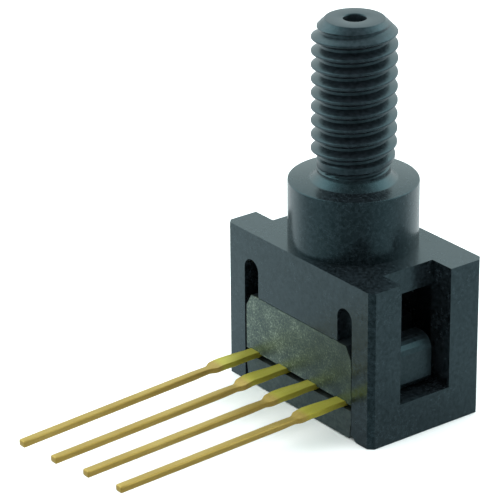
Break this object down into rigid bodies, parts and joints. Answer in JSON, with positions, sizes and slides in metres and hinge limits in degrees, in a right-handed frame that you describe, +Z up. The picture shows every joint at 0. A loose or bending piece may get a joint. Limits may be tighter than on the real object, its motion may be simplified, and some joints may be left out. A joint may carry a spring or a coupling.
{
  "type": "threaded port pressure sensor",
  "caption": "Miniature board-mount pressure sensor: black snap-together box with a threaded pressure port on a round shoulder and a row of straight gold-plated leads.",
  "frame": {"origin": "on the axis of the pressure port, in the plane of the housing's underside", "axes": "+Z up along the pressure port toward its open tip; -Y out of the front face, the way the leads point; +X along the lead row, from the first lead to the last"},
  "size_m": [0.0126, 0.0234, 0.022],
  "materials": {
    "housing_plastic": "moulded black thermoplastic, semi-gloss",
    "retainer_plastic": "moulded black thermoplastic, semi-gloss",
    "carrier_resin": "dark grey-black moulding, finely pebbled",
    "gold_plating": "thin gold plating on strip, satin",
    "seal_elastomer": "soft silicone rubber",
    "conductive_elastomer": "metal-filled silicone rubber",
    "silicon": "polished, opaque silicon",
    "wafer_glass": "clear borosilicate",
    "port_elastomer": "black rubber"
  },
  "bodies": {
    "root": {"port_housing": "housing_plastic", "latch_retainer": "retainer_plastic", "lead_carrier": "carrier_resin", "lead_1": "gold_plating", "lead_2": "gold_plating", "lead_3": "gold_plating", "lead_4": "gold_plating", "conductive_seal": "seal_elastomer", "contact_strip_1": "conductive_elastomer", "contact_strip_2": "conductive_elastomer", "contact_strip_3": "conductive_elastomer", "contact_strip_4": "conductive_elastomer", "sensing_die": "silicon", "glass_wafer": "wafer_glass", "pressure_seal": "port_elastomer"}
  },
  "joints": []
}
